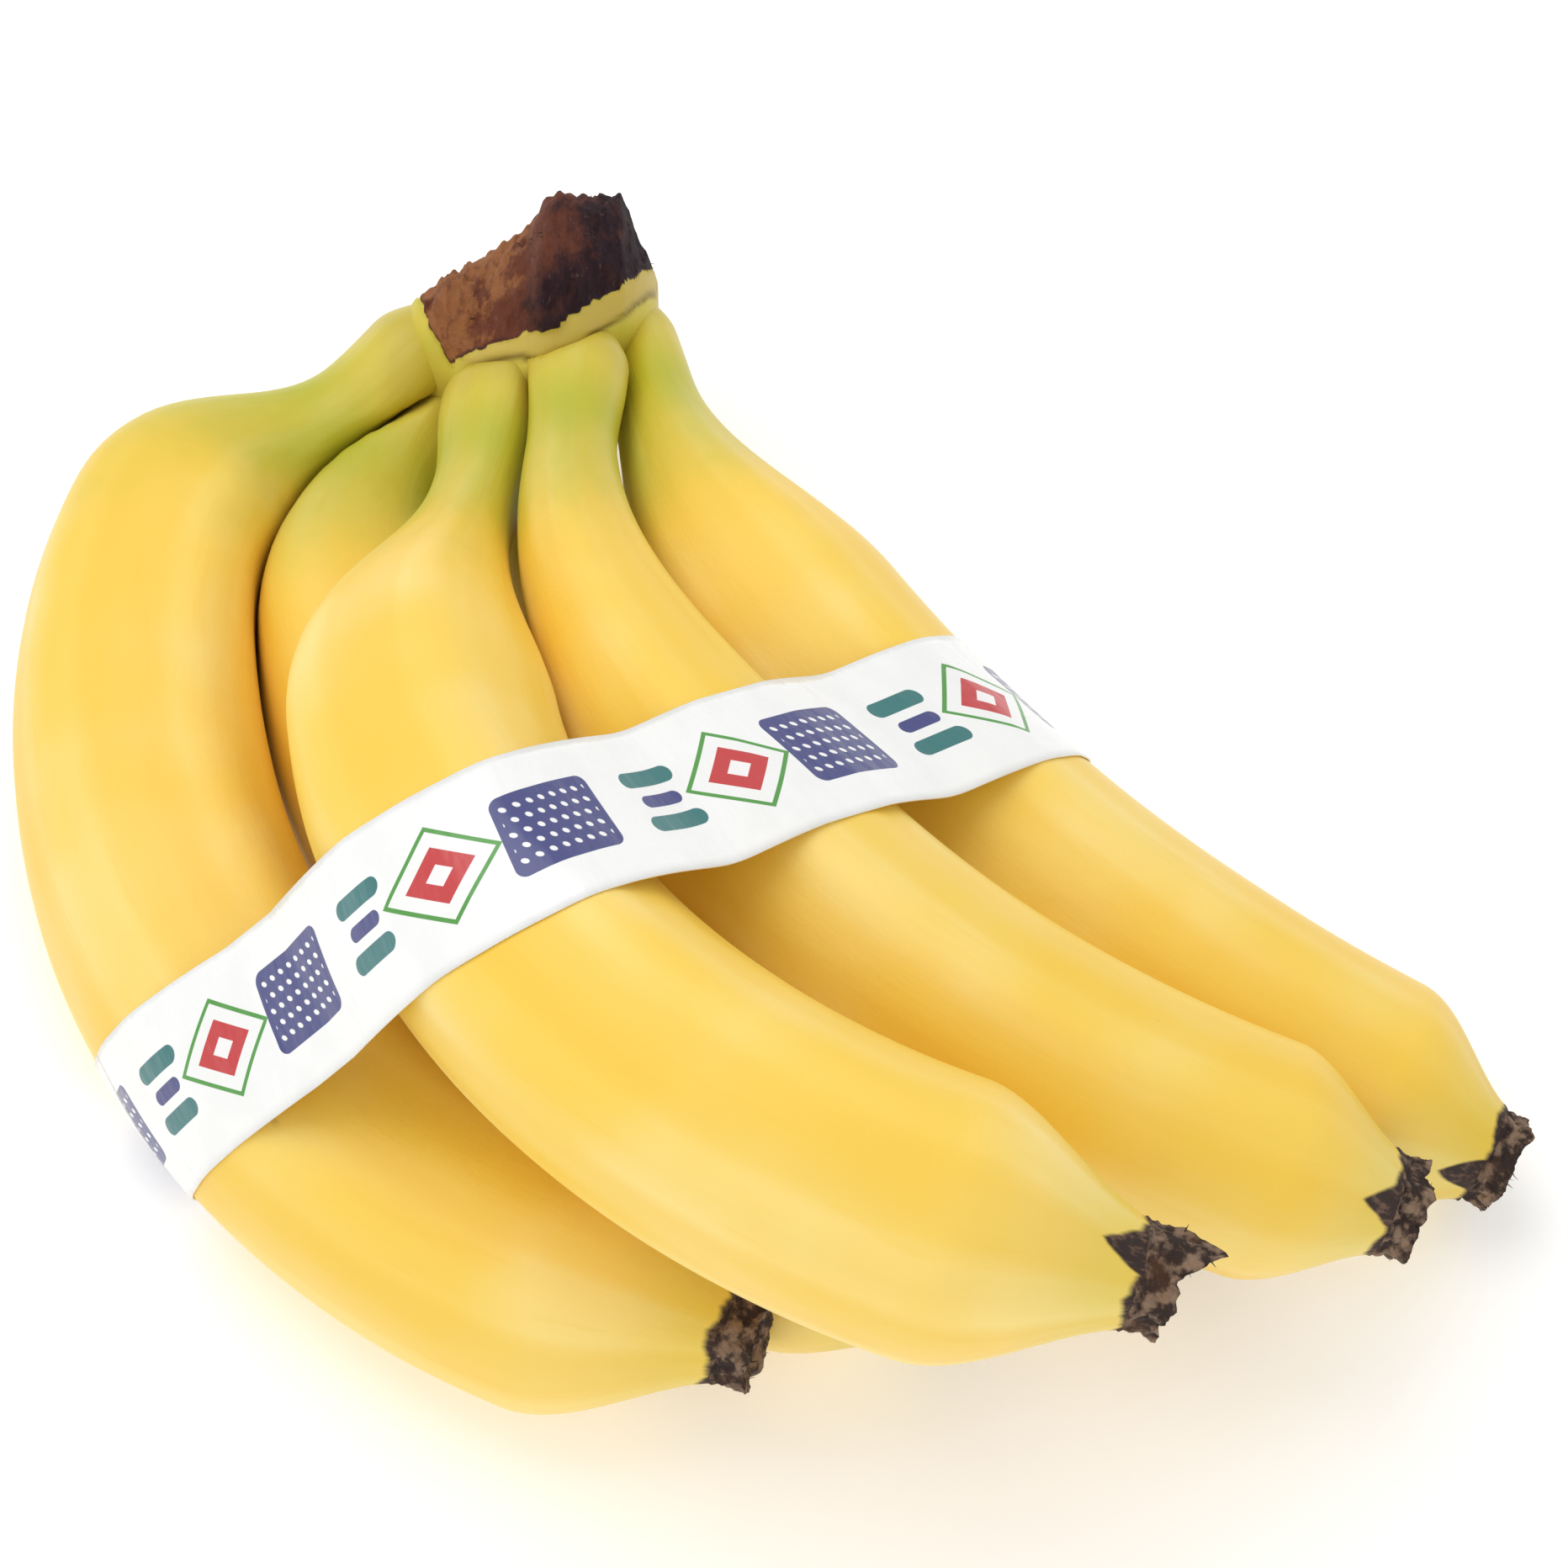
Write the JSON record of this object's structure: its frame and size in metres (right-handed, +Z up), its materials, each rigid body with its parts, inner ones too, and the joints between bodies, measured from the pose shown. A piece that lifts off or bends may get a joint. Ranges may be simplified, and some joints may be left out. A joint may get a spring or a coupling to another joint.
{
  "type": "bunch of bananas",
  "caption": "Bunch of ripe yellow bananas joined at a brown crown, lying on its side with a printed paper band round the fruits.",
  "frame": {"origin": "middle of the bunch's overall box, on the surface that it rests on", "axes": "+Z up from the surface, +X from the crown towards the blossom ends, +Y towards the bananas at the back"},
  "size_m": [0.23, 0.1688, 0.0891],
  "materials": {
    "banana_peel": "smooth satin peel, ripe yellow with green necks and dark dried tips",
    "crown": "rough dried brown plant tissue",
    "paper_band": "coated white paper with a printed pattern"
  },
  "bodies": {
    "root": {"banana_1": "banana_peel", "banana_2": "banana_peel", "banana_3": "banana_peel", "banana_4": "banana_peel", "banana_5": "banana_peel", "banana_6": "banana_peel", "crown": "crown", "paper_band": "paper_band"}
  },
  "joints": []
}
